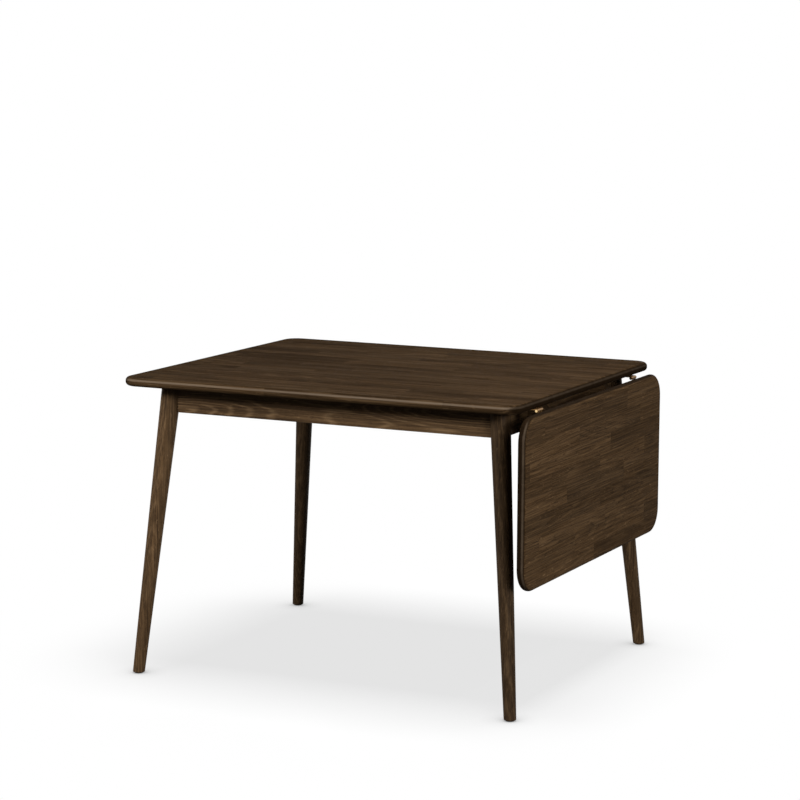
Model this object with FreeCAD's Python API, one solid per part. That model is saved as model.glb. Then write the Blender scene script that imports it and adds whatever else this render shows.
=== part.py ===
import FreeCAD, Part
import math
import os

# Drop-leaf table in stained oak: a fixed top on four splayed, tapered legs, with one leaf
# hinged to its end.  The leaf hangs down; raised, two swing arms hold it level with the top.
# Millimetres and degrees.  Frame: +X along the top towards the leaf, +Y across, +Z up,
# origin on the floor below the middle of the overall box.

Vector = FreeCAD.Vector

# ---- driving dimensions -------------------------------------------------------------

# boards
table_height = 750.0
top_length = 1065.0
top_width = 900.0
board_thick = 22.0
top_corner = 44.0            # radius of the top's corners, seen from above
leaf_corner = 60.0           # radius of the leaf's corners, seen on its face
board_edge_round = 10.0      # radius along both edges of every board
leaf_reach = 415.0           # from the leaf's hinged edge to its free edge

# legs
leg_top_dia = 49.6
leg_foot_dia = 30.0
leg_inset_plain_end = 99.0   # leg axis, at the underside of the top, in from the plain end
leg_inset_leaf_end = 77.0    # the same, in from the end that carries the leaf
leg_inset_side = 91.0        # the same, in from each long side
leg_splay_along = 63.5       # how far the foot stands out along the table
leg_splay_across = 68.5      # how far the foot stands out across the table
leg_foot_round = 2.0
glide_dia = 22.0
glide_thick = 2.5
glide_edge = 0.6
glide_nail_dia = 3.0
glide_nail_length = 14.0

# rails of the under-frame, tenoned into the legs
rail_depth = 69.0
rail_thick = 22.0
rail_past_axis = 5.0         # outer face outside the leg's axis, at the rail's mid depth
rail_edge_round = 1.5
tenon_thick = 10.0
tenon_face_setback = 6.0     # behind the rail's outer face
tenon_end_setback = 10.0     # below the rail's top and above its bottom
tenon_fit = 0.15
scribe_gap = 0.25            # between a rail's scribed shoulder and the round leg

# blocks glued and screwed across the corners of the under-frame
corner_block_near = 46.0     # from the corner of the rails to the block's inner edge
corner_block_far = 82.0      # the same, to its outer edge
corner_block_height = 48.0
corner_block_drop = 6.0      # clear of the top
corner_screw_seat = 8.0      # wood under the head
corner_screw_spread = 22.0   # between the two screws of one end

# steel angles that hold the top
angle_leg = 20.0
angle_width = 18.0
angle_thick = 2.0
angle_from_block = 40.0      # between a corner block and the next angle on a long rail
angle_from_stay = 80.0       # angle on an end rail, in from the middle of the arm's block

# brass butt hinges
leaf_gap = 2.0               # between top and raised leaf
pin_drop = 4.0               # hinge axis below the underside; also the barrel's radius
hinge_from_side = 141.0      # middle of the hinge, in from the board's long side
hinge_length = 32.0
knuckle_count = 5
knuckle_gap = 0.4
hinge_pin_dia = 4.0
hinge_pin_head = 1.2         # thickness of the pin's riveted ends
hinge_pin_head_dia = 6.0
flap_width = 36.0
flap_thick = 2.0
flap_barrel_gap = 0.4
pin_fit = 0.05
hinge_screw_from_edge = 8.0
hinge_screw_spread = 9.0     # outer screws, either side of the middle
hinge_screw_stagger = 12.0   # middle screw nearer the barrel

# swing arms that hold the leaf up
stay_from_hinge = 109.0      # middle of the arm's block, in from the middle of the hinge
stay_block_thick = 30.0
stay_block_nose = 34.0       # depth of the block at its outer end
stay_block_flat = 26.0       # length of its level upper face
stay_screw_spread = 34.0
arm_pivot_from_rail = 32.0
arm_pivot_drop = 55.0        # below the underside of the top
arm_width = 22.0
arm_thick = 20.0
arm_rise = 15.0              # slope of the raised arm
arm_bearing = 40.0           # length of the level face that carries the leaf
arm_edge_round = 1.5
arm_bolt_dia = 8.0
arm_bolt_head_dia = 15.0
arm_bolt_head = 4.0
arm_bolt_head_round = 2.0
arm_nut_dia = 14.0
arm_nut_thick = 6.0
nut_sides = 6
washer_dia = 18.0
washer_thick = 1.0
catch_thick = 12.0
catch_length = 34.0          # of its lower face
catch_width = 34.0
catch_screw_spread = 16.0
seat_gap = 0.3               # left where a moving piece comes to rest
buffer_height = 6.0
buffer_dia = 14.0
buffer_peg_dia = 5.0
buffer_peg_length = 9.0
buffer_round = 1.5
buffer_from_pin = 46.0

# countersunk wood screws
screw_fit = 0.05
screw_point = 4.0            # length of the point
screw_tip_dia = 0.8
screw_slot = 1.0
small_screw_dia = 3.0        # of the hinges and the angles
hinge_screw_length = 15.0
angle_screw_length = 14.0
catch_screw_dia = 4.0
catch_screw_length = 28.0
corner_screw_dia = 4.5
corner_screw_length = 26.0
stay_screw_dia = 5.0
stay_screw_length = 46.0
head_ratio = 1.9             # head diameter over shank diameter

cut_past = 1.0               # how far a cutting shape runs past the face that it opens
close_by = 0.05              # tolerance when an edge is looked up by its place
parallel = 0.99              # cosine above which two directions count as parallel

# ---- places that follow from them -----------------------------------------------------

underside = table_height - board_thick
half_length = top_length / 2
half_width = top_width / 2
pin_x = half_length + leaf_gap / 2
pin_z = underside - pin_drop
hinge_from_middle = half_width - hinge_from_side
stay_from_middle = hinge_from_middle - stay_from_hinge
leaf_outer_face = pin_x + pin_drop + board_thick
middle_x = (leaf_outer_face - half_length) / 2

leg_x = {-1: -half_length + leg_inset_plain_end, 1: half_length - leg_inset_leaf_end}
leg_y = half_width - leg_inset_side
rail_bottom = underside - rail_depth
axis_run = rail_depth / 2 / underside     # share of the splay reached at the rail's mid depth
rail_face_x = {}
for end in (-1, 1):
    rail_face_x[end] = leg_x[end] + end * (leg_splay_along * axis_run + rail_past_axis)
rail_face_y = leg_y + leg_splay_across * axis_run + rail_past_axis

barrel_radius = pin_drop
arm_pivot_x = rail_face_x[1] + arm_pivot_from_rail
arm_pivot_z = underside - arm_pivot_drop
arm_raised = 90.0 + arm_rise
arm_middle = stay_from_middle + stay_block_thick / 2 + washer_thick + arm_thick / 2
stay_end_x = pin_x + pin_drop - buffer_height - seat_gap
leaf_raised = 90.0

across = Vector(0, 1, 0)
up = Vector(0, 0, 1)


# ---- small helpers ----------------------------------------------------------------------

def box(x0, x1, y0, y1, z0, z1):
    low = Vector(min(x0, x1), min(y0, y1), min(z0, z1))
    return Part.makeBox(abs(x1 - x0), abs(y1 - y0), abs(z1 - z0), low)


def rod(radius, start, end):
    run = end - start
    return Part.makeCylinder(radius, run.Length, start, run)


def aim(shape, point, direction):
    """Turn a shape built along +Z so that it runs along direction from point."""
    placed = shape.copy()
    placed.Placement = FreeCAD.Placement(point, FreeCAD.Rotation(up, direction))
    return placed


def slab_xz(points, y0, y1):
    """Outline in the XZ plane, given as (x, z) pairs, drawn out from y0 to y1."""
    corners = [Vector(x, min(y0, y1), z) for x, z in points]
    face = Part.Face(Part.makePolygon(corners + corners[:1]))
    return face.extrude(across * abs(y1 - y0))


def slab_xy(points, z0, z1):
    """Outline in the XY plane drawn up from z0 to z1."""
    corners = [Vector(x, y, z0) for x, y in points]
    face = Part.Face(Part.makePolygon(corners + corners[:1]))
    return face.extrude(up * (z1 - z0))


def hang(shape):
    """Turn a piece built on the raised leaf down to the hanging leaf."""
    placed = shape.copy()
    placed.rotate(Vector(pin_x, 0, pin_z), across, leaf_raised)
    return placed


def lower_arm(shape):
    """Turn a piece built on the raised arm down to the hanging arm."""
    placed = shape.copy()
    placed.rotate(Vector(arm_pivot_x, 0, arm_pivot_z), across, arm_raised)
    return placed


def export(name, pieces):
    """Write one node, a solid or a group of them, with the origin below the middle of the box."""
    solids = [solid for piece in pieces for solid in piece.Solids]
    moved = solids[0].copy() if len(solids) == 1 else Part.makeCompound(solids).copy()
    moved.translate(Vector(-middle_x, 0, 0))
    moved.exportStep("parts/" + name + ".step")


# ---- screws -------------------------------------------------------------------------------

def screw_body(dia, length, extra=0.0):
    """Countersunk screw along +Z with its head's face at zero; extra is added all round."""
    radius = dia / 2 + extra
    head_radius = dia * head_ratio / 2 + extra
    head = Part.makeCone(head_radius, radius, head_radius - radius)
    shank = Part.makeCylinder(radius, length - screw_point)
    tip_radius = screw_tip_dia / 2 + extra
    shoulder = Vector(0, 0, length - screw_point)
    point = Part.makeCone(radius, tip_radius, screw_point + extra, shoulder)
    return head.fuse([shank, point]).removeSplitter()


def screws(spots, dia, length):
    """One slotted screw for each spot, a spot being the head's centre and the way it is driven."""
    wide = dia * head_ratio
    slot = box(-wide, wide, -screw_slot / 2, screw_slot / 2, -cut_past, screw_slot)
    body = screw_body(dia, length).cut(slot)
    return [aim(body, point, way) for point, way in spots]


def screw_holes(spots, dia, length):
    """Cutting shapes for the same screws, open above the head."""
    head_radius = dia * head_ratio / 2 + screw_fit
    way_in = Part.makeCylinder(head_radius, cut_past, Vector(0, 0, -cut_past))
    body = screw_body(dia, length, screw_fit).fuse(way_in)
    return [aim(body, point, way) for point, way in spots]


# ---- boards ---------------------------------------------------------------------------------

def board(x0, x1, corner):
    """Flat board over the full width, with rounded corners and edges rounded above and below."""
    blank = box(x0, x1, -half_width, half_width, underside, table_height)
    uprights = [e for e in blank.Edges if abs(e.tangentAt(e.FirstParameter).z) > parallel]
    blank = blank.makeFillet(corner, uprights)
    rims = [e for e in blank.Edges if e.BoundBox.ZLength < close_by]
    return blank.makeFillet(board_edge_round, rims)


def tabletop():
    blank = board(-half_length, half_length, top_corner)
    holes = screw_holes(hinge_spots(-1), small_screw_dia, hinge_screw_length)
    holes += screw_holes(angle_spots(into_top=True), small_screw_dia, angle_screw_length)
    return blank.cut(holes)


def drop_leaf():
    edge = pin_x + leaf_gap / 2
    blank = board(edge, edge + leaf_reach, leaf_corner)
    holes = screw_holes(hinge_spots(1), small_screw_dia, hinge_screw_length)
    holes += screw_holes(catch_spots(), catch_screw_dia, catch_screw_length)
    holes += [buffer_peg(side, screw_fit) for side in (-1, 1)]
    return hang(blank.cut(holes))


# ---- legs ---------------------------------------------------------------------------------------

def leg_axis(end, side, height):
    share = 1 - height / underside
    return Vector(leg_x[end] + end * leg_splay_along * share,
                  side * (leg_y + leg_splay_across * share), height)


def leg_cone(end, side, extra=0.0):
    """Full taper of a leg about its splayed axis, run on past both ends."""
    foot = leg_axis(end, side, 0)
    top = leg_axis(end, side, underside)
    run = top - foot
    length = run.Length
    way = run * (1 / length)
    past = leg_top_dia
    taper = (leg_top_dia - leg_foot_dia) / 2 / length
    low = leg_foot_dia / 2 - taper * past + extra
    high = leg_top_dia / 2 + taper * past + extra
    return Part.makeCone(low, high, length + 2 * past, foot - way * past, way)


def leg(end, side):
    reach = top_length
    blank = leg_cone(end, side).common(box(-reach, reach, -reach, reach, glide_thick, underside))
    rim = [e for e in blank.Edges if e.BoundBox.ZMax < glide_thick + close_by]
    blank = blank.makeFillet(leg_foot_round, rim)
    cuts = [rail_tenon_long(end, side, tenon_fit), rail_tenon_end(end, side, tenon_fit)]
    cuts.append(glide_nail(end, side, screw_fit))
    return blank.cut(cuts)


def glide_nail(end, side, extra=0.0):
    seat = leg_axis(end, side, glide_thick)
    seat.z = 0
    return rod(glide_nail_dia / 2 + extra, seat + up * (glide_thick / 2), seat + up * glide_nail_length)


def glide(end, side):
    foot = leg_axis(end, side, glide_thick)
    foot.z = 0
    disc = Part.makeCylinder(glide_dia / 2, glide_thick, foot)
    rim = [e for e in disc.Edges if e.BoundBox.ZMax < close_by]
    disc = disc.makeChamfer(glide_edge, rim)
    return disc.fuse(glide_nail(end, side)).removeSplitter()


# ---- rails -----------------------------------------------------------------------------------------

def tenon_span(face):
    """Outer and inner flank of a tenon behind a rail's outer face, as distances from it."""
    return face - tenon_face_setback, face - tenon_face_setback - tenon_thick


def rail_tenon_long(end, side, extra=0.0):
    """Tenon of a long rail, up to the flank of the end rail's tenon."""
    outer, inner = tenon_span(rail_face_y)
    stop = end * tenon_span(abs(rail_face_x[end]))[1]
    start = leg_x[end] - end * leg_top_dia
    return box(start, stop, side * (inner - extra), side * (outer + extra),
               rail_bottom + tenon_end_setback - extra, underside - tenon_end_setback + extra)


def rail_tenon_end(end, side, extra=0.0):
    """Tenon of an end rail, up to the outer flank of the long rail's tenon."""
    outer, inner = tenon_span(abs(rail_face_x[end]))
    stop = tenon_span(rail_face_y)[0] + extra
    start = leg_y - leg_top_dia
    return box(end * (inner - extra), end * (outer + extra), side * start, side * stop,
               rail_bottom + tenon_end_setback - extra, underside - tenon_end_setback + extra)


def soften_lower(blank, way):
    """Round the two lower long edges of a rail."""
    rims = []
    for edge in blank.Edges:
        low = edge.BoundBox.ZMax < rail_bottom + close_by
        if low and abs(edge.tangentAt(edge.FirstParameter).dot(way)) > parallel:
            rims.append(edge)
    return blank.makeFillet(rail_edge_round, rims)


def long_rail(side):
    inner = rail_face_y - rail_thick
    blank = box(leg_x[-1], leg_x[1], side * inner, side * rail_face_y, rail_bottom, underside)
    blank = soften_lower(blank, Vector(1, 0, 0))
    blank = blank.cut([leg_cone(end, side, scribe_gap) for end in (-1, 1)])
    blank = blank.fuse([rail_tenon_long(end, side, 0) for end in (-1, 1)])
    holes = screw_holes(angle_spots(into_top=False), small_screw_dia, angle_screw_length)
    holes += screw_holes(corner_spots(along_x=False), corner_screw_dia, corner_screw_length)
    return blank.cut(holes)


def end_rail(end):
    outer = rail_face_x[end]
    inner = outer - end * rail_thick
    reach = rail_face_y - rail_thick
    blank = box(inner, outer, -reach, reach, rail_bottom, underside)
    blank = soften_lower(blank, across)
    blank = blank.cut([leg_cone(end, side, scribe_gap) for side in (-1, 1)])
    blank = blank.fuse([rail_tenon_end(end, side, 0) for side in (-1, 1)])
    holes = screw_holes(angle_spots(into_top=False), small_screw_dia, angle_screw_length)
    holes += screw_holes(corner_spots(along_x=True), corner_screw_dia, corner_screw_length)
    if end == 1:
        holes += screw_holes(stay_spots(), stay_screw_dia, stay_screw_length)
    return blank.cut(holes)


# ---- corner blocks ------------------------------------------------------------------------------------

def inner_corner(end, side):
    return Vector(rail_face_x[end] - end * rail_thick, side * (rail_face_y - rail_thick), 0)


def corner_block_top():
    return underside - corner_block_drop


def corner_block(end, side):
    corner = inner_corner(end, side)
    near = corner_block_near
    far = corner_block_far
    outline = [(near, 0), (far, 0), (0, far), (0, near)]
    points = [(corner.x - end * u, corner.y - side * v) for u, v in outline]
    blank = slab_xy(points, corner_block_top() - corner_block_height, corner_block_top())
    holes = []
    for along_x in (False, True):
        spots = corner_spots(along_x)
        holes += screw_holes(spots, corner_screw_dia, corner_screw_length)
        head_radius = corner_screw_dia * head_ratio / 2 + screw_fit
        holes += [rod(head_radius, point, point - way * corner_block_far) for point, way in spots]
    return blank.cut(holes)


def corner_spots(along_x):
    """Screws of the corner blocks: into the end rails if along_x, else into the long rails."""
    spots = []
    out = (corner_block_near + corner_block_far) / 2
    middle = corner_block_top() - corner_block_height / 2
    for end in (-1, 1):
        for side in (-1, 1):
            corner = inner_corner(end, side)
            for step in (-1, 1):
                height = up * (middle + step * corner_screw_spread / 2)
                if along_x:
                    seat = corner + Vector(-end * corner_screw_seat, -side * out, 0)
                    spots.append((seat + height, Vector(end, 0, 0)))
                else:
                    seat = corner + Vector(-end * out, -side * corner_screw_seat, 0)
                    spots.append((seat + height, Vector(0, side, 0)))
    return spots


# ---- angles that hold the top ------------------------------------------------------------------------------

def angle_seats():
    """Foot of each angle, at the rail's inner face below the top, and the way it faces."""
    seats = []
    past_block = corner_block_far + angle_from_block + angle_width / 2
    for side in (-1, 1):
        outer = [inner_corner(end, side) - Vector(end * past_block, 0, 0) for end in (-1, 1)]
        for corner in outer + [(outer[0] + outer[1]) / 2]:
            seats.append((corner + up * underside, Vector(0, -side, 0)))
    for end in (-1, 1):
        for side in (-1, 1):
            across_rail = side * (stay_from_middle - angle_from_stay)
            place = Vector(rail_face_x[end] - end * rail_thick, across_rail, underside)
            seats.append((place, Vector(-end, 0, 0)))
    return seats


def angle_spots(into_top):
    """Screws of the angles, driven up into the top or sideways into the rails."""
    spots = []
    hole = (angle_leg + angle_thick) / 2
    for place, inward in angle_seats():
        if into_top:
            spots.append((place + inward * hole - up * angle_thick, up))
        else:
            spots.append((place + inward * angle_thick - up * hole, inward * -1))
    return spots


def top_angles():
    pieces = []
    half = angle_width / 2
    level = Part.makeBox(angle_leg, angle_width, angle_thick, Vector(0, -half, -angle_thick))
    upright = Part.makeBox(angle_thick, angle_width, angle_leg, Vector(0, -half, -angle_leg))
    blank = level.fuse(upright).removeSplitter()
    cuts = screw_holes(angle_spots(True), small_screw_dia, angle_screw_length)
    cuts += screw_holes(angle_spots(False), small_screw_dia, angle_screw_length)
    for place, inward in angle_seats():
        piece = blank.copy()
        turn = FreeCAD.Rotation(up, math.degrees(math.atan2(inward.y, inward.x)))
        piece.Placement = FreeCAD.Placement(place, turn)
        pieces.append(piece.cut(cuts))
    return pieces


# ---- hinges ----------------------------------------------------------------------------------------------

def knuckle_spans(side, first):
    """Start and end of every second knuckle along the barrel, from the first or the second."""
    start = side * hinge_from_middle - hinge_length / 2
    pitch = hinge_length / knuckle_count
    spans = []
    for step in range(first, knuckle_count, 2):
        near = start + step * pitch
        spans.append((near + knuckle_gap / 2, near + pitch - knuckle_gap / 2))
    return spans


def hinge_flap(side, way, first):
    """Flap with its knuckles, lying under the top (way -1) or under the raised leaf (way 1)."""
    middle = side * hinge_from_middle
    half = hinge_length / 2
    near = pin_x + way * (barrel_radius + flap_barrel_gap)
    outer = pin_x + way * flap_width
    plate = box(near, outer, middle - half, middle + half, underside - flap_thick, underside)
    parts = []
    for y0, y1 in knuckle_spans(side, first):
        parts.append(rod(barrel_radius, Vector(pin_x, y0, pin_z), Vector(pin_x, y1, pin_z)))
        parts.append(box(pin_x, near, y0, y1, underside - flap_thick, underside))
    blank = plate.fuse(parts)
    bore = rod(hinge_pin_dia / 2 + pin_fit, Vector(pin_x, middle - hinge_length, pin_z),
               Vector(pin_x, middle + hinge_length, pin_z))
    holes = screw_holes(hinge_spots(way), small_screw_dia, hinge_screw_length)
    return blank.cut([bore] + holes).removeSplitter()


def hinge_pin(side):
    middle = side * hinge_from_middle
    half = hinge_length / 2
    shaft = rod(hinge_pin_dia / 2, Vector(pin_x, middle - half, pin_z), Vector(pin_x, middle + half, pin_z))
    heads = []
    for way in (-1, 1):
        face = Vector(pin_x, middle + way * half, pin_z)
        heads.append(rod(hinge_pin_head_dia / 2, face, face + across * (way * hinge_pin_head)))
    return shaft.fuse(heads).removeSplitter()


def hinge_spots(way):
    """Screws of both hinges under the top (way -1) or under the raised leaf (way 1)."""
    spots = []
    for side in (-1, 1):
        for step in (-1, 0, 1):
            back = hinge_screw_from_edge if step else hinge_screw_from_edge + hinge_screw_stagger
            x = pin_x + way * (flap_width - back)
            y = side * hinge_from_middle + step * hinge_screw_spread
            spots.append((Vector(x, y, underside - flap_thick), up))
    return spots


# ---- swing arms, their blocks and catches ----------------------------------------------------------------

def stay_block(side):
    """Block on the leaf-end rail that carries an arm and stops the hanging leaf."""
    back = rail_face_x[1]
    slope_start = back + stay_block_flat
    outline = [(back, rail_bottom), (back, underside), (slope_start, underside),
               (stay_end_x, rail_bottom + stay_block_nose), (stay_end_x, rail_bottom)]
    middle = side * stay_from_middle
    half = stay_block_thick / 2
    blank = slab_xz(outline, middle - half, middle + half)
    holes = screw_holes(stay_spots(), stay_screw_dia, stay_screw_length)
    holes.append(arm_axle(side, arm_bolt_dia / 2 + pin_fit))
    return blank.cut(holes)


def stay_spots():
    """Screws of the arm blocks, driven out through the leaf-end rail."""
    spots = []
    inner = rail_face_x[1] - rail_thick
    middle = underside - rail_depth / 2
    for side in (-1, 1):
        for step in (-1, 1):
            place = Vector(inner, side * stay_from_middle, middle + step * stay_screw_spread / 2)
            spots.append((place, Vector(1, 0, 0)))
    return spots


def arm_axle(side, radius, back=0.0, ahead=0.0):
    """Rod about an arm's pivot, from the block's far face less back to the arm's face plus ahead."""
    start = stay_from_middle - stay_block_thick / 2 - back
    end = arm_middle + arm_thick / 2 + ahead
    return rod(radius, Vector(arm_pivot_x, side * start, arm_pivot_z),
               Vector(arm_pivot_x, side * end, arm_pivot_z))


def arm_outline():
    """Key points of the raised arm: level bearing face, sloped nose and the arm's two edges."""
    rise = math.radians(arm_rise)
    half = arm_width / 2
    seat_z = underside - seat_gap
    lift = seat_z - arm_pivot_z
    run = (lift - half * math.cos(rise)) / math.sin(rise)
    bearing_x = arm_pivot_x + run * math.cos(rise) - half * math.sin(rise)
    nose_x = bearing_x + arm_bearing
    drop = (lift * math.cos(rise) - (nose_x - arm_pivot_x) * math.sin(rise) + half)
    drop = drop / (math.sin(rise) + math.cos(rise))
    upper_root = (arm_pivot_x - half * math.sin(rise), arm_pivot_z + half * math.cos(rise))
    lower_root = (arm_pivot_x + half * math.sin(rise), arm_pivot_z - half * math.cos(rise))
    return [lower_root, (nose_x + drop, seat_z - drop), (nose_x, seat_z), (bearing_x, seat_z), upper_root]


def catch_face_x():
    """Upper edge of the catch's slope, clear of the raised arm's nose."""
    nose_x = arm_outline()[2][0]
    return nose_x + 2 * seat_gap


def swing_arm(side):
    half = arm_thick / 2
    middle = side * arm_middle
    bar = slab_xz(arm_outline(), middle - half, middle + half)
    heel = rod(arm_width / 2, Vector(arm_pivot_x, middle - half, arm_pivot_z),
               Vector(arm_pivot_x, middle + half, arm_pivot_z))
    blank = bar.fuse(heel).removeSplitter()
    blank = blank.makeFillet(arm_edge_round, long_edges(blank))
    return lower_arm(blank.cut(arm_axle(side, arm_bolt_dia / 2 + pin_fit, 0, cut_past)))


def long_edges(blank):
    """The two straight lower edges of the raised arm, along its length."""
    slope = Vector(math.cos(math.radians(arm_rise)), 0, math.sin(math.radians(arm_rise)))
    found = []
    for edge in blank.Edges:
        straight = edge.Curve.TypeId == "Part::GeomLine"
        if straight and abs(edge.tangentAt(edge.FirstParameter).dot(slope)) > parallel:
            found.append(edge)
    return found


def arm_bolt(side):
    """Round-headed bolt: head on the arm's side, thread through the nut on the block's side."""
    start = washer_thick + arm_nut_thick + cut_past
    shank = arm_axle(side, arm_bolt_dia / 2, start, washer_thick)
    face = Vector(arm_pivot_x, side * (arm_middle + arm_thick / 2 + washer_thick), arm_pivot_z)
    head = rod(arm_bolt_head_dia / 2, face, face + across * (side * arm_bolt_head))
    outside = abs(face.y) + arm_bolt_head
    rim = [e for e in head.Edges if e.BoundBox.YLength < close_by
           and abs(abs(e.BoundBox.Center.y) - outside) < close_by]
    head = head.makeFillet(arm_bolt_head_round, rim)
    return shank.fuse(head).removeSplitter()


def ring_at(side, y, outer_radius, length):
    """Ring on an arm's pivot from y outwards, bored to pass the bolt."""
    start = Vector(arm_pivot_x, side * y, arm_pivot_z)
    blank = rod(outer_radius, start, start + across * (side * length))
    return blank.cut(arm_axle(side, arm_bolt_dia / 2 + pin_fit, arm_thick, arm_thick))


def arm_washers(side):
    far_side = stay_from_middle - stay_block_thick / 2 - washer_thick
    between = stay_from_middle + stay_block_thick / 2
    near_side = arm_middle + arm_thick / 2
    return [ring_at(side, y, washer_dia / 2, washer_thick) for y in (far_side, between, near_side)]


def arm_nut(side):
    far_side = stay_from_middle - stay_block_thick / 2 - washer_thick - arm_nut_thick
    corners = []
    for step in range(nut_sides):
        turn = 2 * math.pi * step / nut_sides
        corners.append((arm_pivot_x + arm_nut_dia / 2 * math.cos(turn),
                        arm_pivot_z + arm_nut_dia / 2 * math.sin(turn)))
    blank = slab_xz(corners, side * far_side, side * (far_side + arm_nut_thick))
    return blank.cut(arm_axle(side, arm_bolt_dia / 2 + pin_fit, arm_thick, 0))


def arm_catch(side):
    """Sloped block under the leaf that the raised arm's nose comes up against."""
    face = catch_face_x()
    low = underside - catch_thick
    outline = [(face, underside), (face + catch_thick, low),
               (face + catch_thick + catch_length, low), (face + catch_thick + catch_length, underside)]
    middle = side * arm_middle
    half = catch_width / 2
    blank = slab_xz(outline, middle - half, middle + half)
    return hang(blank.cut(screw_holes(catch_spots(), catch_screw_dia, catch_screw_length)))


def catch_spots():
    spots = []
    x = catch_face_x() + catch_thick + catch_length / 2
    for side in (-1, 1):
        for step in (-1, 1):
            y = side * arm_middle + step * catch_screw_spread / 2
            spots.append((Vector(x, y, underside - catch_thick), up))
    return spots


def buffer_peg(side, extra=0.0):
    base = Vector(pin_x + buffer_from_pin, side * stay_from_middle, underside - buffer_height / 2)
    length = buffer_height / 2 + buffer_peg_length
    return Part.makeCylinder(buffer_peg_dia / 2 + extra, length + extra, base)


def leaf_buffer(side):
    """Rubber button under the leaf that rests against the arm's block when the leaf hangs."""
    base = Vector(pin_x + buffer_from_pin, side * stay_from_middle, underside - buffer_height)
    dome = Part.makeCylinder(buffer_dia / 2, buffer_height, base)
    rim = [e for e in dome.Edges if e.BoundBox.ZMax < base.z + close_by]
    dome = dome.makeFillet(buffer_round, rim)
    return hang(dome.fuse(buffer_peg(side)).removeSplitter())


# ---- all pieces --------------------------------------------------------------------------------------------

end_names = {-1: "plain", 1: "leaf"}
side_names = {-1: "front", 1: "rear"}


def build():
    os.makedirs("parts", exist_ok=True)
    export("tabletop", [tabletop()])
    export("drop_leaf", [drop_leaf()])
    for side in (-1, 1):
        name = side_names[side]
        export("apron_" + name, [long_rail(side)])
        for end in (-1, 1):
            corner = name + "_" + end_names[end] + "_end"
            export("leg_" + corner, [leg(end, side)])
            export("foot_glide_" + corner, [glide(end, side)])
            export("corner_block_" + corner, [corner_block(end, side)])
        export("hinge_" + name + "_top_flap", [hinge_flap(side, -1, 0)])
        export("hinge_" + name + "_leaf_flap", [hang(hinge_flap(side, 1, 1))])
        export("hinge_" + name + "_pin", [hinge_pin(side)])
        export("arm_block_" + name, [stay_block(side)])
        export("swing_arm_" + name, [swing_arm(side)])
        export("arm_bolt_" + name, [arm_bolt(side)])
        export("arm_catch_" + name, [arm_catch(side)])
        export("leaf_buffer_" + name, [leaf_buffer(side)])
    for end in (-1, 1):
        export("end_rail_" + end_names[end] + "_end", [end_rail(end)])
    export("arm_washers", arm_washers(-1) + arm_washers(1))
    export("arm_nuts", [arm_nut(-1), arm_nut(1)])
    export("top_angles", top_angles())
    angle_screws = screws(angle_spots(True) + angle_spots(False), small_screw_dia, angle_screw_length)
    export("top_angle_screws", angle_screws)
    block_spots = corner_spots(False) + corner_spots(True)
    export("corner_block_screws", screws(block_spots, corner_screw_dia, corner_screw_length))
    export("arm_block_screws", screws(stay_spots(), stay_screw_dia, stay_screw_length))
    export("hinge_top_screws", screws(hinge_spots(-1), small_screw_dia, hinge_screw_length))
    leaf_screws = screws(hinge_spots(1), small_screw_dia, hinge_screw_length)
    export("hinge_leaf_screws", [hang(screw) for screw in leaf_screws])
    catch_screws = screws(catch_spots(), catch_screw_dia, catch_screw_length)
    export("catch_screws", [hang(screw) for screw in catch_screws])


build()
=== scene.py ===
import math

import bpy
from mathutils import Matrix, Vector


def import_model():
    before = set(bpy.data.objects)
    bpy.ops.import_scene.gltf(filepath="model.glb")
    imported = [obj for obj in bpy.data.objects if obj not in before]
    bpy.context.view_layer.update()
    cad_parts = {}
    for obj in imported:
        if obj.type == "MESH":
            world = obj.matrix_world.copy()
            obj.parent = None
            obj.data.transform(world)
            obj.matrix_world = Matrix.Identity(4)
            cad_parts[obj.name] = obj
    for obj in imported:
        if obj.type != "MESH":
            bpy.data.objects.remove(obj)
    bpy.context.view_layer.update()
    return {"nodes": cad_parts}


# A drop-leaf table in dark-stained oak, in a plain white studio.  Metres.

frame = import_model()

# ---- colours, linear ------------------------------------------------------------------------

OAK_DARK = (0.0215, 0.0117, 0.0052)
OAK_MIDDLE = (0.052, 0.0303, 0.0142)
OAK_LIGHT = (0.090, 0.0555, 0.0280)
OAK_HIGHLIGHT_AND_WEAR = (0.140, 0.103, 0.071)   # painted highlight and wear of the stain on rounded edges
OAK_LINE = 0.5                       # hairlines and glue lines, as a share of OAK_DARK
OAK_PORE = 0.55                      # open pores, the same
OAK_END_AND_SHADE = 0.28                       # end grain, and the painted shade on rounded edges, the same
BRASS = (0.84, 0.60, 0.30)
BRASS_TARNISH = (0.44, 0.23, 0.07)
# darker brass for the hinges; their pins keep the bright brass
DARK_BRASS = (0.30, 0.17, 0.065)
DARK_BRASS_TARNISH = (0.09, 0.045, 0.018)
STEEL = (0.52, 0.52, 0.53)
STEEL_DULLED = (0.36, 0.37, 0.36)
RUBBER = (0.018, 0.018, 0.019)
NYLON = (0.045, 0.034, 0.026)
DUSTED = 2.2                         # how much paler dust makes rubber and nylon
WHITE = (1.0, 1.0, 1.0)


# ---- node graphs ----------------------------------------------------------------------------

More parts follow.
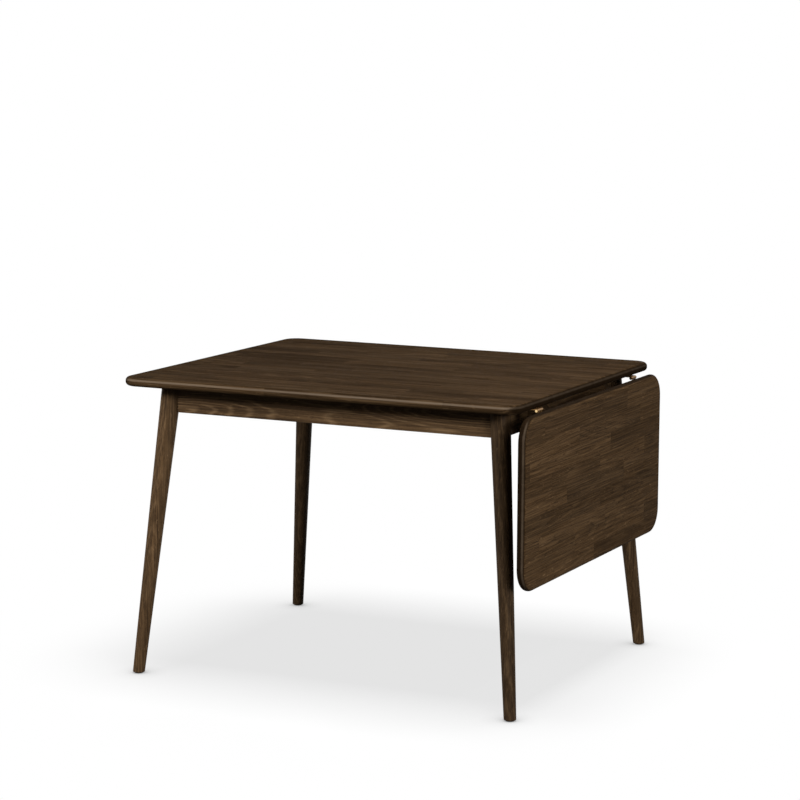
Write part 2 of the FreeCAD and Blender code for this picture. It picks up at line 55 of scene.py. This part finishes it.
class Graph:
    """Adds nodes to one material or world; an input may be a socket or a plain value."""

    def __init__(self, owner, output):
        owner.use_nodes = True
        self.owner = owner
        self.tree = owner.node_tree
        self.tree.nodes.clear()
        self.output = self.tree.nodes.new("ShaderNodeOutput" + output)

    def feed(self, socket, value):
        if isinstance(value, bpy.types.NodeSocket):
            self.tree.links.new(value, socket)
        elif hasattr(value, "__len__") and len(value) == 3 and socket.type == "RGBA":
            socket.default_value = (*value, 1.0)
        else:
            socket.default_value = value

    def node(self, kind, inputs=(), **settings):
        made = self.tree.nodes.new("ShaderNode" + kind)
        for key, value in settings.items():
            setattr(made, key, value)
        for key, value in dict(inputs).items():
            self.feed(made.inputs[key], value)
        return made

    def math(self, operation, first, second=0.0, third=0.0):
        return self.node("Math", {0: first, 1: second, 2: third}, operation=operation).outputs[0]

    def vector(self, x, y, z):
        return self.node("CombineXYZ", {0: x, 1: y, 2: z}).outputs[0]

    def noise(self, place, scale=1.0, detail=2.0, roughness=0.5, distortion=0.0):
        made = self.node("TexNoise", {"Vector": place, "Scale": scale, "Detail": detail,
                                      "Roughness": roughness, "Distortion": distortion})
        return made.outputs["Fac"]

    def span(self, value, low, high, to_low=0.0, to_high=1.0):
        """Map a value smoothly from one range to another and hold it there."""
        made = self.node("MapRange", {"Value": value, "From Min": low, "From Max": high,
                                      "To Min": to_low, "To Max": to_high},
                         interpolation_type="SMOOTHSTEP")
        return made.outputs["Result"]

    def mix(self, share, first, second, blend="MIX"):
        made = self.node("Mix", data_type="RGBA", blend_type=blend)
        self.feed(made.inputs[0], share)
        self.feed(made.inputs[6], first)
        self.feed(made.inputs[7], second)
        return made.outputs[2]

    def brighten(self, colour, factor):
        return self.mix(1.0, colour, self.vector(factor, factor, factor), blend="MULTIPLY")

    def bump(self, height, strength, depth):
        made = self.node("Bump", {"Height": height, "Strength": strength, "Distance": depth})
        return made.outputs[0]

    def seen(self):
        """1 for what the camera sees, also by way of a reflection or a clear piece, else 0."""
        rays = self.node("LightPath").outputs
        found = self.math("MAXIMUM", rays["Is Camera Ray"], rays["Is Glossy Ray"])
        return self.math("MAXIMUM", found, rays["Is Transmission Ray"])

    def end_with(self, shader):
        self.tree.links.new(shader.outputs[0], self.output.inputs[0])

    def principled(self, **inputs):
        shader = self.node("BsdfPrincipled")
        for key, value in inputs.items():
            self.feed(shader.inputs[key.replace("_", " ")], value)
        self.end_with(shader)
        return self.owner


def new_material(name):
    return Graph(bpy.data.materials.new(name), "Material")


def scaled(colour, factor):
    return tuple(part * factor for part in colour)


# ---- oak ------------------------------------------------------------------------------------

# glued staves of the boards
STAVE_WIDTH = 0.044
STAVE_LENGTH = 0.40
STAVE_STRETCH = (0.75, 1.35)     # shortest and longest row of staves, times the length
STAVE_STAGGER = 17.3             # moves each row's joints along by a random share of this
STAVE_SEED = 0.5
STAVE_JUMPS = (7.0, 3.0, 2.0)    # how far apart in the wood two neighbours may come from
STAVE_SHADES = (0.83, 1.18)      # darkest and palest stave
GLUE_LINE = 0.018                # half the width of a joint, as a share of the stave's
GLUE_LINE_SHARE = 0.45

# scales of the noises per metre, along the grain and across it
RING_ACROSS = 9.0                # along the grain it is the piece's own arch
WOBBLE_SCALES = (9.0, 150.0)
TONE_SCALES = (1.6, 26.0)
PORE_SCALES = (70.0, 1500.0)
RAY_SCALES = (55.0, 210.0)
FIBRE_SCALES = (6.0, 380.0)

# growth rings
RING_COUNT = 30.0                # rings over the whole range of the noise
RING_WOBBLE = 0.80               # how far a ring's line strays, in rings
HALF_RING = 0.5
LATE_WOOD = (0.02, 0.26)         # the dense part, from the ring's line outwards, takes less stain
EARLY_WOOD = (0.10, 0.40)        # the open part, where most pores lie
HAIRS_PER_RING = 1.7
HAIR_PHASE = 0.3
HAIR_WIDTH = 0.11
HAIR_TONES = (0.30, 0.60, 0.35, 1.0)     # hairlines are faint where the wood is dark

# pores, rays and fibres: the range of noise over which they come up, and how far
PORE_NOISE = (0.56, 0.68)
PORE_SHARE = 0.60
PORES_IN_LATE_WOOD = 0.35
RAY_NOISE = (0.66, 0.74)
RAY_SHARE = 0.5
FIBRE_NOISE = (0.32, 0.68)
FIBRE_SHADES = (0.60, 1.40)
TONE_NOISE = (0.15, 0.85)

# edges, by how far the surface faces a given way: end grain, a rim of painted shade, and a rim of
# painted highlight and wear
END_FACING = (0.30, 0.80)
END_SHARE = 0.92
# the rim of painted shade, where a rounded edge turns away from the board's face
SHADED_RIM_FACING = (0.60, 0.93)
SHADED_RIM_SHARE = 0.85
# the rim of painted highlight and wear, by how far the normal leans to the given axis
HIGHLIGHT_COMES = (0.05, 0.32)
HIGHLIGHT_GOES = (0.48, 0.76)
HIGHLIGHT_ENDS = (0.0, 0.9)            # from along the grain to end grain
HIGHLIGHT_PATCHES = (0.2, 0.7, 0.65, 1.0)      # the painted highlight and wear are fainter where the wood is dark

# surface
ROUGH_NOISE = (0.2, 0.8)
ROUGHER, SMOOTHER = 0.08, 0.05   # how far the roughness strays from the piece's own
PORE_ROUGHNESS = 0.18
LATE_WOOD_HEIGHT = 0.25          # as a share of a pore's depth
OAK_RELIEF = (0.35, 0.00035)     # strength, depth


def grain_axes(graph, grain):
    """Object coordinates as along, across and through the grain, for grain along x, y or z."""
    place = graph.node("TexCoord")
    split = graph.node("SeparateXYZ", {0: place.outputs["Object"]})
    facing = graph.node("SeparateXYZ", {0: place.outputs["Normal"]})
    order = {"x": (0, 1, 2), "y": (1, 2, 0), "z": (2, 0, 1)}[grain]
    coordinates = [split.outputs[i] for i in order]
    end_on = graph.math("ABSOLUTE", facing.outputs[order[0]])
    return coordinates, end_on, facing.outputs


def drawn(graph, place, along_scale, across_scale):
    """A place for a noise that is drawn out along the grain."""
    along, across, through = place
    return graph.vector(graph.math("MULTIPLY", along, along_scale),
                        graph.math("MULTIPLY", across, across_scale),
                        graph.math("MULTIPLY", through, across_scale))


def staves(graph, along, across):
    """Random numbers that are the same all over one stave, and the lines between staves."""
    row_place = graph.math("DIVIDE", across, STAVE_WIDTH)
    row = graph.math("FLOOR", row_place)
    row_random = graph.node("TexWhiteNoise", {"W": row}, noise_dimensions="1D").outputs["Value"]
    stretch = graph.span(row_random, 0.0, 1.0, *STAVE_STRETCH)
    length = graph.math("MULTIPLY", stretch, STAVE_LENGTH)
    run = graph.math("DIVIDE", along, length)
    run = graph.math("MULTIPLY_ADD", row_random, STAVE_STAGGER, run)
    segment = graph.math("FLOOR", run)
    key = graph.vector(row, segment, STAVE_SEED)
    randoms = graph.node("TexWhiteNoise", {"Vector": key}, noise_dimensions="3D").outputs["Color"]
    split = graph.node("SeparateXYZ", {0: randoms})
    side_gap = graph.math("PINGPONG", row_place, 0.5)
    end_gap = graph.math("MULTIPLY", graph.math("PINGPONG", run, 0.5), STAVE_LENGTH / STAVE_WIDTH)
    joint = graph.math("MINIMUM", side_gap, end_gap)
    line = graph.span(joint, 0.0, GLUE_LINE, 1.0, 0.0)
    return [split.outputs[i] for i in range(3)], line


def growth_rings(graph, place, arch):
    """A count that climbs by one from ring to ring, and the way to the nearest ring's line."""
    field = graph.noise(drawn(graph, place, arch, RING_ACROSS),
                        detail=1.0, roughness=0.45, distortion=0.15)
    wobble = graph.noise(drawn(graph, place, *WOBBLE_SCALES))
    turns = graph.math("MULTIPLY_ADD", wobble, RING_WOBBLE,
                       graph.math("MULTIPLY", field, RING_COUNT))
    return turns, graph.math("PINGPONG", turns, HALF_RING)


def painted_highlight_rim(graph, tilt, ends, broad, along_share, end_share):
    """Share of painted highlight and wear on a rounded edge whose normal leans towards the given
    axis.
    """
    rim = graph.math("MULTIPLY", graph.span(tilt, *HIGHLIGHT_COMES), graph.span(tilt, *HIGHLIGHT_GOES, 1.0, 0.0))
    rim = graph.math("MULTIPLY", rim, graph.span(ends, *HIGHLIGHT_ENDS, along_share, end_share))
    return graph.math("MULTIPLY", rim, graph.span(broad, *HIGHLIGHT_PATCHES))


def oak(name, grain, glued=False, tone=1.0, gloss=0.04, rough=0.52, figure=0.38,
        streak=1.0, hair=0.0, arch=0.55, shift=0.0, highlighted=None, shaded_rim=None):
    """Dark-stained oak: growth rings as drawn-out contours, open pores, rays and darker end grain.

    tone scales the stain's colours, and gloss is the specular level.  figure, streak and hair are
    the strength of the rings, of broad bands and of dark hairlines; arch bends the rings and shift
    moves the piece along the tree.  rubbed gives a rim of painted highlight and wear: the axis it
    leans to, its share along the grain and its share on the ends.  edged gives a rim of painted
    shade
    on rounded edges: the axis that the board faces.
    """
    graph = new_material(name)
    (along, across, through), end_on, facing = grain_axes(graph, grain)
    if shift:
        along = graph.math("ADD", along, shift)
    place = (along, across, through)
    if glued:
        randoms, line = staves(graph, along, across)
        place = [graph.math("MULTIPLY_ADD", chance, jump, part)
                 for chance, jump, part in zip(randoms, STAVE_JUMPS, place)]

    turns, ring = growth_rings(graph, place, arch)
    late = graph.span(ring, *LATE_WOOD, 1.0, 0.0)
    broad = graph.noise(drawn(graph, place, *TONE_SCALES), detail=4.0, roughness=0.54)
    pores = graph.span(graph.noise(drawn(graph, place, *PORE_SCALES), detail=1.0), *PORE_NOISE)
    pores = graph.math("MULTIPLY", pores, graph.span(ring, *EARLY_WOOD, PORES_IN_LATE_WOOD, 1.0))
    rays = graph.noise(drawn(graph, place, *RAY_SCALES), detail=1.0, distortion=0.8)
    rays = graph.span(rays, *RAY_NOISE, 0.0, RAY_SHARE)
    fibres = graph.noise(drawn(graph, place, *FIBRE_SCALES), roughness=0.7)
    fibres = graph.span(fibres, *FIBRE_NOISE, *FIBRE_SHADES)

    bands = graph.span(broad, *TONE_NOISE, 0.5 - 0.5 * streak, 0.5 + 0.5 * streak)
    colour = graph.mix(bands, scaled(OAK_DARK, tone), scaled(OAK_MIDDLE, tone))
    colour = graph.mix(graph.math("MULTIPLY", late, figure), colour, scaled(OAK_LIGHT, tone))
    colour = graph.mix(rays, colour, scaled(OAK_LIGHT, tone))
    if hair:
        hairs = graph.math("MULTIPLY_ADD", turns, HAIRS_PER_RING, HAIR_PHASE)
        hairs = graph.span(graph.math("PINGPONG", hairs, HALF_RING), 0.0, HAIR_WIDTH, hair, 0.0)
        hairs = graph.math("MULTIPLY", hairs, graph.span(broad, *HAIR_TONES))
        colour = graph.mix(hairs, colour, scaled(OAK_DARK, OAK_LINE))
    colour = graph.brighten(colour, fibres)
    if glued:
        colour = graph.brighten(colour, graph.span(randoms[0], 0.0, 1.0, *STAVE_SHADES))
        lines = graph.math("MULTIPLY", line, GLUE_LINE_SHARE)
        colour = graph.mix(lines, colour, scaled(OAK_DARK, OAK_LINE))
    colour = graph.mix(graph.math("MULTIPLY", pores, PORE_SHARE), colour, scaled(OAK_DARK, OAK_PORE))

    ends = graph.span(end_on, *END_FACING, 0.0, END_SHARE)
    edges = ends
    # painted shade: a dark rim where rounded edges turn away from the board's face
    if shaded_rim is not None:
        flat = graph.math("ABSOLUTE", facing[shaded_rim])
        edges = graph.math("MAXIMUM", ends, graph.span(flat, *SHADED_RIM_FACING, SHADED_RIM_SHARE, 0.0))
    colour = graph.mix(edges, colour, scaled(OAK_DARK, OAK_END_AND_SHADE))
    # painted highlight, with some wear, on rounded edges that lean towards the given axis
    if highlighted:
        axis, along_share, end_share = highlighted
        rim = painted_highlight_rim(graph, facing[axis], ends, broad, along_share, end_share)
        colour = graph.mix(rim, colour, OAK_HIGHLIGHT_AND_WEAR)

    roughness = graph.span(broad, *ROUGH_NOISE, rough + ROUGHER, rough - SMOOTHER)
    roughness = graph.math("MULTIPLY_ADD", pores, PORE_ROUGHNESS, roughness)
    relief = graph.math("SUBTRACT", graph.math("MULTIPLY", late, LATE_WOOD_HEIGHT), pores)
    if glued:
        relief = graph.math("SUBTRACT", relief, line)
    return graph.principled(Base_Color=colour, Roughness=roughness, Specular_IOR_Level=gloss,
                            Normal=graph.bump(relief, *OAK_RELIEF))


# ---- metal, rubber and nylon ----------------------------------------------------------------

GRAIN_NOISE = (0.3, 0.7)         # the range in which most of a fine noise lies


def smooth(name, base, patched, patches, patch_edge, patch_share, grain, rough, relief,
           ragged=0.6, metallic=0.0):
    """A smooth finish: fine grain in its gloss and relief, and patches of a second colour.

    patches and grain are scales per metre, the second for each axis; relief is strength and depth.
    """
    graph = new_material(name)
    place = graph.node("TexCoord").outputs["Object"]
    fine = graph.noise(graph.node("Mapping", {"Vector": place, "Scale": grain}).outputs[0])
    blotches = graph.noise(place, patches, detail=3.0, roughness=ragged)
    colour = graph.mix(graph.span(blotches, *patch_edge, 0.0, patch_share), base, patched)
    return graph.principled(Base_Color=colour, Metallic=metallic,
                            Roughness=graph.span(fine, *GRAIN_NOISE, *rough),
                            Normal=graph.bump(fine, *relief))


def brass(name, base, tarnish, rough):
    """Brass with fine lines along the barrel and darker tarnish."""
    return smooth(name, base, tarnish, patches=55.0, patch_edge=(0.42, 0.75), patch_share=0.7,
                  grain=(400.0, 2600.0, 400.0), rough=rough, relief=(0.12, 0.0001), metallic=1.0)


def steel(name):
    """Zinc-plated steel that has gone dull in places."""
    return smooth(name, STEEL, STEEL_DULLED, patches=60.0, patch_edge=(0.4, 0.75), patch_share=0.6,
                  grain=(900.0, 900.0, 900.0), rough=(0.28, 0.46), relief=(0.10, 0.0001),
                  metallic=1.0)


def moulded(name, base, rough):
    """Matt moulded rubber or nylon with a little dust."""
    return smooth(name, base, scaled(base, DUSTED), patches=90.0, patch_edge=(0.5, 0.8),
                  patch_share=0.35, grain=(1400.0, 1400.0, 1400.0), rough=rough,
                  relief=(0.25, 0.0002), ragged=0.65)


# ---- pieces ---------------------------------------------------------------------------------

def dress(names, material):
    for name in names:
        for slot in frame["nodes"][name].material_slots:
            slot.material = material


def dress_table():
    names = list(frame["nodes"])
    brass_names = [name for name in names if name.startswith("hinge_")]
    pins = [name for name in brass_names if name.endswith("_pin")]
    screws = [name for name in names if "screws" in name and name not in brass_names]

    def starting(*heads):
        return [name for name in names if name.startswith(heads) and "screws" not in name]

    dress(["tabletop"], oak("oak_top", "x", glued=True, tone=0.84, gloss=0.003, rough=0.72,
                            highlighted=(2, 0.66, 0.18)))
    dress(["drop_leaf"], oak("oak_leaf", "y", glued=True, tone=1.20, gloss=0.008, rough=0.64,
                             figure=0.16, streak=0.5, hair=0.55, highlighted=(0, 0.0, 0.30), shaded_rim=0))
    dress(starting("apron_"), oak("oak_apron", "x", tone=1.52, figure=0.52, arch=1.15, shift=1.10))
    dress(starting("end_rail_", "corner_block_"), oak("oak_rail", "y"))
    dress(starting("leg_"), oak("oak_leg", "z", tone=0.77))
    dress(["leg_front_plain_end"], oak("oak_leg_light", "z", tone=1.66, figure=0.22, streak=0.7,
                                       hair=0.25, shift=1.55))
    dress(["leg_rear_leaf_end"], oak("oak_leg_middle", "z", tone=1.0))
    dress(starting("swing_arm_"), oak("oak_arm", "z", tone=0.90))
    dress(starting("arm_block_"), oak("oak_block", "x"))
    dress(starting("arm_catch_"), oak("oak_catch", "y"))
    dress(brass_names, brass("brass_dark", DARK_BRASS, DARK_BRASS_TARNISH, (0.30, 0.48)))
    dress(pins, brass("brass_pin", BRASS, BRASS_TARNISH, (0.10, 0.22)))
    dress(screws + starting("arm_bolt_", "arm_nuts", "arm_washers", "top_angles"),
          steel("zinc_steel"))
    dress(starting("leaf_buffer_"), moulded("black_rubber", RUBBER, (0.55, 0.75)))
    dress(starting("foot_glide_"), moulded("brown_nylon", NYLON, (0.40, 0.55)))


# ---- floor and surroundings -----------------------------------------------------------------

FLOOR_HALF = 40.0
FLOOR_FADE = (0.50, 1.2)         # way from the table's middle over which the floor turns plain white
FLOOR_GLOW = 0.77                # share of plain white in the floor near the table
FLOOR_BOUNCE = 0.04              # share of its paleness that the floor throws back on the table
FLOOR_SCALE = 3.0                # the paper's faint clouds, per metre
FLOOR_SHADES = (0.80, 0.83)
FLOOR_ROUGHNESS = 0.6
FOOT_SHADE_REACH = 0.06
FOOT_SHADE = (0.45, 1.0, 0.55, 1.0)      # from open sky overhead to brightness
WORLD_FILL = 0.05                # strength of the surroundings as a light


def floor():
    """White paper that takes the table's shadow near by and is plain white further off."""
    mesh = bpy.data.meshes.new("studio_floor")
    h = FLOOR_HALF
    mesh.from_pydata([(-h, -h, 0), (h, -h, 0), (h, h, 0), (-h, h, 0)], [], [(0, 1, 2, 3)])
    plane = bpy.data.objects.new("studio_floor", mesh)
    bpy.context.collection.objects.link(plane)

    graph = new_material("floor_white")
    place = graph.node("TexCoord").outputs["Object"]
    distance = graph.node("VectorMath", {0: place}, operation="LENGTH").outputs["Value"]
    far = graph.span(distance, *FLOOR_FADE)
    seen = graph.seen()
    shade = graph.span(graph.noise(place, FLOOR_SCALE), *GRAIN_NOISE, *FLOOR_SHADES)
    shade = graph.math("MULTIPLY", shade, graph.span(seen, 0.0, 1.0, FLOOR_BOUNCE, 1.0))
    paper = graph.node("BsdfDiffuse", {"Color": graph.vector(shade, shade, shade),
                                       "Roughness": FLOOR_ROUGHNESS})
    nearby = graph.node("AmbientOcclusion", {"Distance": FOOT_SHADE_REACH}, samples=8)
    open_sky = graph.span(nearby.outputs["AO"], *FOOT_SHADE)
    glow = graph.node("Emission", {"Color": WHITE, "Strength": open_sky})
    share = graph.math("MULTIPLY", seen, graph.span(far, 0.0, 1.0, FLOOR_GLOW, 1.0))
    graph.end_with(graph.node("MixShader", {0: share, 1: paper.outputs[0], 2: glow.outputs[0]}))
    mesh.materials.append(graph.owner)
    return plane


def world():
    """White where it is seen, and a faint light elsewhere."""
    made = bpy.data.worlds.new("studio")
    bpy.context.scene.world = made
    graph = Graph(made, "World")
    strength = graph.math("MAXIMUM", graph.seen(), WORLD_FILL)
    graph.end_with(graph.node("Background", {"Color": WHITE, "Strength": strength}))


# ---- lamps ----------------------------------------------------------------------------------

AIM_HEIGHT = 0.55
LAMP_REACH = 5.0
KEY_SIZE = (1.6, 1.0)
TABLE_MIDDLE = (0.0, 0.0, AIM_HEIGHT)
TOP_SOFT_PLACE = (0.5, 0.0, 1.95)
TOP_SOFT_AIM = (0.5, 0.0, 0.75)
WASH_PLACE = (0.34, -0.26, 4.6)
WASH_AIM = (0.34, -0.26, 0.0)


def around(bearing, elevation):
    """A lamp's place as the table sees it: bearing from -Y towards +X and elevation, in degrees."""
    turn = math.radians(bearing)
    rise = math.radians(elevation)
    return (LAMP_REACH * math.sin(turn) * math.cos(rise),
            -LAMP_REACH * math.cos(turn) * math.cos(rise),
            AIM_HEIGHT + LAMP_REACH * math.sin(rise))


def softbox(name, place, aim, size, watts):
    lamp = bpy.data.lights.new(name, "AREA")
    lamp.shape = "RECTANGLE"
    lamp.size, lamp.size_y = size
    lamp.energy = watts
    made = bpy.data.objects.new(name, lamp)
    made.location = place
    made.rotation_euler = (Vector(aim) - Vector(place)).to_track_quat("-Z", "Y").to_euler()
    bpy.context.collection.objects.link(made)
    return made


def lights(plane):
    """Lamps for the table, which leave the floor out, and one above that lights only the floor."""
    table_lamps = [softbox("key_left", around(-30.0, 24.0), TABLE_MIDDLE, KEY_SIZE, 255.0),
                   softbox("key_right", around(60.0, 16.0), TABLE_MIDDLE, KEY_SIZE, 212.0),
                   softbox("key_right_high", around(60.0, 33.0), TABLE_MIDDLE, KEY_SIZE, 60.0),
                   softbox("top_soft", TOP_SOFT_PLACE, TOP_SOFT_AIM, (0.7, 0.9), 10.0),
                   softbox("back_soft", around(206.0, 8.0), TABLE_MIDDLE, (2.6, 1.6), 230.0)]
    table_lamps[-1].visible_glossy = False      # it would lie as a glare on the top
    wash = softbox("floor_wash", WASH_PLACE, WASH_AIM, (2.6, 2.2), 322.0)
    for_floor = bpy.data.collections.new("lit_by_wash")
    for_floor.objects.link(plane)
    wash.light_linking.receiver_collection = for_floor
    for_table = bpy.data.collections.new("lit_by_table_lamps")
    for_table.objects.link(plane)
    for_table.collection_objects[0].light_linking.link_state = "EXCLUDE"
    for lamp in table_lamps:
        lamp.light_linking.receiver_collection = for_table


# ---- camera ---------------------------------------------------------------------------------

YAW, PITCH, ROLL = 25.675, 8.496, 0.286        # degrees
CAMERA_PLACE = (2.9188, -6.0532, 1.6750)
FOCAL_PIXELS = 2677.8
FRAME_PIXELS = 800.0
SENSOR = 36.0                                  # mm
CLIP_END = 200.0


def camera():
    """The photo's camera: looking ahead along YAW, down by PITCH and turned by ROLL."""
    yaw = math.radians(YAW)
    pitch = math.radians(PITCH)
    roll = math.radians(ROLL)
    ahead = Vector((-math.sin(yaw) * math.cos(pitch), math.cos(yaw) * math.cos(pitch),
                    -math.sin(pitch)))
    level = Vector((math.cos(yaw), math.sin(yaw), 0.0))
    above = level.cross(ahead)
    right = level * math.cos(roll) + above * math.sin(roll)
    top = above * math.cos(roll) - level * math.sin(roll)
    data = bpy.data.cameras.new("camera")
    data.sensor_width = SENSOR
    data.lens = FOCAL_PIXELS / FRAME_PIXELS * SENSOR
    data.clip_end = CLIP_END
    made = bpy.data.objects.new("camera", data)
    turn = Matrix((right, top, -ahead)).transposed().to_4x4()
    made.matrix_world = Matrix.Translation(CAMERA_PLACE) @ turn
    bpy.context.collection.objects.link(made)
    bpy.context.scene.camera = made


camera()
dress_table()
studio_floor = floor()
world()
lights(studio_floor)
bpy.context.scene.view_settings.view_transform = "Standard"
